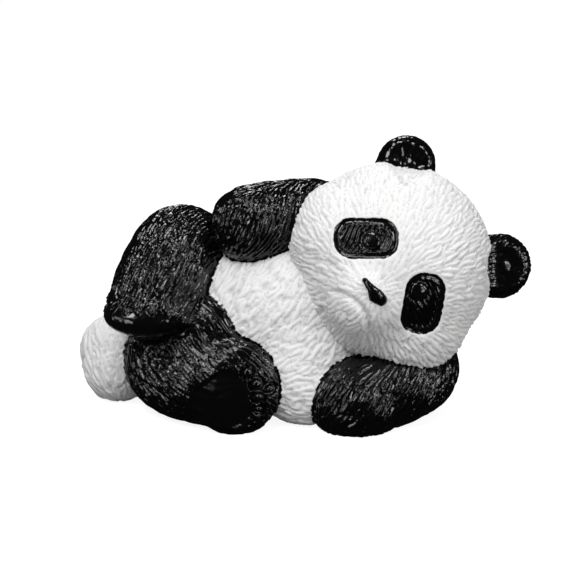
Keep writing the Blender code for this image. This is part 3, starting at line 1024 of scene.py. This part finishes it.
def paint(name):
    """White matt paint with black gloss paint over it, by the distance that the mesh keeps, both with
    painted shade in the grooves.
    """
    material = bpy.data.materials.new(name)
    material.use_nodes = True
    tree = material.node_tree
    shader = tree.nodes["Principled BSDF"]
    furry = add_math(tree, "SUBTRACT", 1.0, read_value(tree, "bare"), clamp=True)
    amount = ramp(tree, furry, 0, 1, RAGGED_BARE, RAGGED_FURRY)
    wander = add_math(tree, "SUBTRACT", object_noise(tree, EDGE_WAVES, 2.0), 0.5)
    ragged = add_math(tree, "MULTIPLY", wander, amount)
    edge = add_math(tree, "ADD", read_value(tree, "ink"), ragged)
    black = ramp(tree, edge, EDGE_SOFTNESS, -EDGE_SOFTNESS)
    # Painted shade: both paints turn darker where the fur is low, in the grooves between strands
    shade = ramp(tree, read_value(tree, "depth"), 0.0, PAINTED_SHADE_DEPTH)
    white_colour = mix_colours(tree, shade, WHITE_PAINTED_SHADE, WHITE)
    black_colour = mix_colours(tree, shade, BLACK_PAINTED_SHADE, BLACK)
    tree.links.new(mix_colours(tree, black, white_colour, black_colour), shader.inputs["Base Color"])
    gloss = ramp(tree, object_noise(tree, GLOSS_WAVES, 3.0), 0.35, 0.65, GLOSS_LEAST, GLOSS_MOST)
    matt = ramp(tree, black, 0, 1, MATT, 0.0)
    roughness = add_math(tree, "ADD", matt, add_math(tree, "MULTIPLY", gloss, black))
    tree.links.new(roughness, shader.inputs["Roughness"])
    group = tree.nodes.new("ShaderNodeGroup")
    group.node_tree = hairs
    tree.links.new(read_value(tree, "flow", "Vector"), group.inputs["Flow"])
    tree.links.new(read_value(tree, "reach"), group.inputs["Reach"])
    crinkle_share = ramp(tree, black, 0, 1, *CRINKLES)
    crinkle = add_math(tree, "MULTIPLY", object_noise(tree, CRINKLE_WAVES, 3.0), crinkle_share)
    hair = add_math(tree, "MULTIPLY", group.outputs["Height"], ramp(tree, black, 0, 1, *HAIRS))
    fine = add_math(tree, "ADD", hair, crinkle)
    height = add_math(tree, "MULTIPLY", fine, ramp(tree, furry, 0, 1, BARE_BUMP, 1.0))
    bump = tree.nodes.new("ShaderNodeBump")
    bump.inputs["Strength"].default_value = 1.0
    bump.inputs["Distance"].default_value = BUMP_HEIGHT * MM
    tree.links.new(height, bump.inputs["Height"])
    tree.links.new(bump.outputs["Normal"], shader.inputs["Normal"])
    shader.inputs["Specular IOR Level"].default_value = 0.5
    return material


panda_paint = paint("panda_paint")
for skin in skins.values():
    skin.data.materials.clear()
    skin.data.materials.append(panda_paint)
    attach(skin, "root")
    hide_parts("panda")
print("painted:", list(skins))

# %% [markdown]
# ## Floor, light and camera
# The photograph is a studio shot on white. So the floor is pale, and only the camera sees the
# background as white. Matt white fur needs large soft lights for its soft grey grooves, and these
# aren't mirrored in gloss, or they would grey the black paint. Small lights that only gloss mirrors
# give the black paint its glints.

# %% Lay the floor
FLOOR_SIZE = 6
FLOOR_GREY = 0.35
# How bright the floor shows to the camera, apart from the light that falls on it
FLOOR_GLOW = 0.9

bpy.ops.object.select_all(action="DESELECT")
bpy.ops.mesh.primitive_plane_add(size=FLOOR_SIZE)
floor = bpy.context.object
floor.name = "floor"
floor_paint = bpy.data.materials.new("floor_white")
floor_paint.use_nodes = True
floor_shader = floor_paint.node_tree.nodes["Principled BSDF"]
floor_shader.inputs["Base Color"].default_value = (FLOOR_GREY, FLOOR_GREY, FLOOR_GREY, 1)
floor_shader.inputs["Roughness"].default_value = 0.9
floor_shader.inputs["Specular IOR Level"].default_value = 0.0
floor_shader.inputs["Emission Color"].default_value = (1, 1, 1, 1)
seen = floor_paint.node_tree.nodes.new("ShaderNodeLightPath")
glow = floor_paint.node_tree.nodes.new("ShaderNodeMath")
glow.operation = "MULTIPLY"
glow.inputs[1].default_value = FLOOR_GLOW
floor_paint.node_tree.links.new(seen.outputs["Is Camera Ray"], glow.inputs[0])
floor_paint.node_tree.links.new(glow.outputs[0], floor_shader.inputs["Emission Strength"])
floor.data.materials.append(floor_paint)
floor.visible_glossy = False
print("the floor is", FLOOR_SIZE, "metres wide, in a grey of", FLOOR_GREY)

# %% Light the background
# How bright the background is to the camera, to the light on matt surfaces, and to gloss
SEEN_WHITE = 1.0
SOFT_WHITE = 0.24
MIRRORED_WHITE = 0.02

world = bpy.data.worlds.new("studio")
bpy.context.scene.world = world
world.use_nodes = True
nodes, links = world.node_tree.nodes, world.node_tree.links
background = nodes["Background"]
background.inputs["Color"].default_value = (1, 1, 1, 1)
ray = nodes.new("ShaderNodeLightPath")
soft = nodes.new("ShaderNodeMapRange")
links.new(ray.outputs["Is Diffuse Ray"], soft.inputs["Value"])
soft.inputs["To Min"].default_value = MIRRORED_WHITE
soft.inputs["To Max"].default_value = SOFT_WHITE
strength = nodes.new("ShaderNodeMapRange")
links.new(ray.outputs["Is Camera Ray"], strength.inputs["Value"])
links.new(soft.outputs[0], strength.inputs["To Min"])
strength.inputs["To Max"].default_value = SEEN_WHITE
links.new(strength.outputs[0], background.inputs["Strength"])
print("the background lights matt surfaces at", SOFT_WHITE)

# %% [markdown]
# ## Lights
# The key stands to the left of the camera and above it, as the photograph's shading shows, with a
# weaker fill on the right, one light above and a weak one behind for the back of the cub. The glints
# come from all round, each weak enough that the hairs stay thin lines of light.

# %% Place the lights
GLINT_SIZE = 0.12
# Each is a name, a place in metres, a size for the soft lights only, and a power
SOFT_LIGHTS = (
    ("key", (-0.12, -0.24, 0.36), 0.22, 1.0),
    ("fill", (0.26, -0.34, 0.2), 0.3, 0.6),
    ("top", (0.04, 0.0, 0.42), 0.25, 0.36),
    ("rear", (0.06, 0.36, 0.2), 0.3, 0.6),
)
GLINTS = (
    ("key_glint", (-0.24, -0.2, 0.28), 0.54),
    ("top_glint", (-0.06, -0.04, 0.4), 0.54),
    ("back_glint", (0.0, 0.3, 0.3), 0.4),
    ("right_glint", (0.3, -0.2, 0.3), 0.54),
    ("left_glint", (-0.4, -0.1, 0.1), 0.14),
    ("side_glint", (0.4, -0.1, 0.1), 0.3),
    ("low_left_glint", (-0.32, -0.3, 0.03), 0.24),
    ("low_right_glint", (0.32, -0.3, 0.03), 0.3),
)


def add_softbox(name, place, size, power, target=(0, 0, 0.015)):
    """A square soft light at a place in metres, turned to the target."""
    lamp = bpy.data.lights.new(name, "AREA")
    lamp.energy = power
    lamp.size = size
    holder = bpy.data.objects.new(name, lamp)
    bpy.context.scene.collection.objects.link(holder)
    holder.location = place
    holder.rotation_mode = "QUATERNION"
    holder.rotation_quaternion = (Vector(target) - Vector(place)).to_track_quat("-Z", "Y")
    return holder


for name, place, size, power in SOFT_LIGHTS:
    add_softbox(name, place, size, power).visible_glossy = False
for name, place, power in GLINTS:
    add_softbox(name, place, GLINT_SIZE, power).visible_diffuse = False
print(len(SOFT_LIGHTS), "soft lights and", len(GLINTS), "glints")

# %% [markdown]
# ## Camera
# The cub fills the frame without much perspective, so the lens is long. The camera looks down a little,
# because the tops of the limbs show and the underside doesn't. It aims at the middle of the cub, which
# moved with the pieces.

# %% Set the camera
CAMERA_LENS = 100
CAMERA_AWAY = 0.211
CAMERA_RISE = math.radians(15)
AIM = Vector((-2.0, 2.8, 15.6)) + shift

camera = bpy.data.cameras.new("camera")
camera.lens = CAMERA_LENS
camera.sensor_width = 36
camera.clip_start = 0.01
holder = bpy.data.objects.new("camera", camera)
bpy.context.scene.collection.objects.link(holder)
bpy.context.scene.camera = holder
back = Vector((0, -math.cos(CAMERA_RISE), math.sin(CAMERA_RISE)))
holder.location = AIM * MM + back * CAMERA_AWAY
holder.rotation_mode = "QUATERNION"
holder.rotation_quaternion = (-back).to_track_quat("-Z", "Y")
bpy.context.scene.view_settings.view_transform = "Standard"
print("the camera is at", [round(c, 3) for c in holder.location])
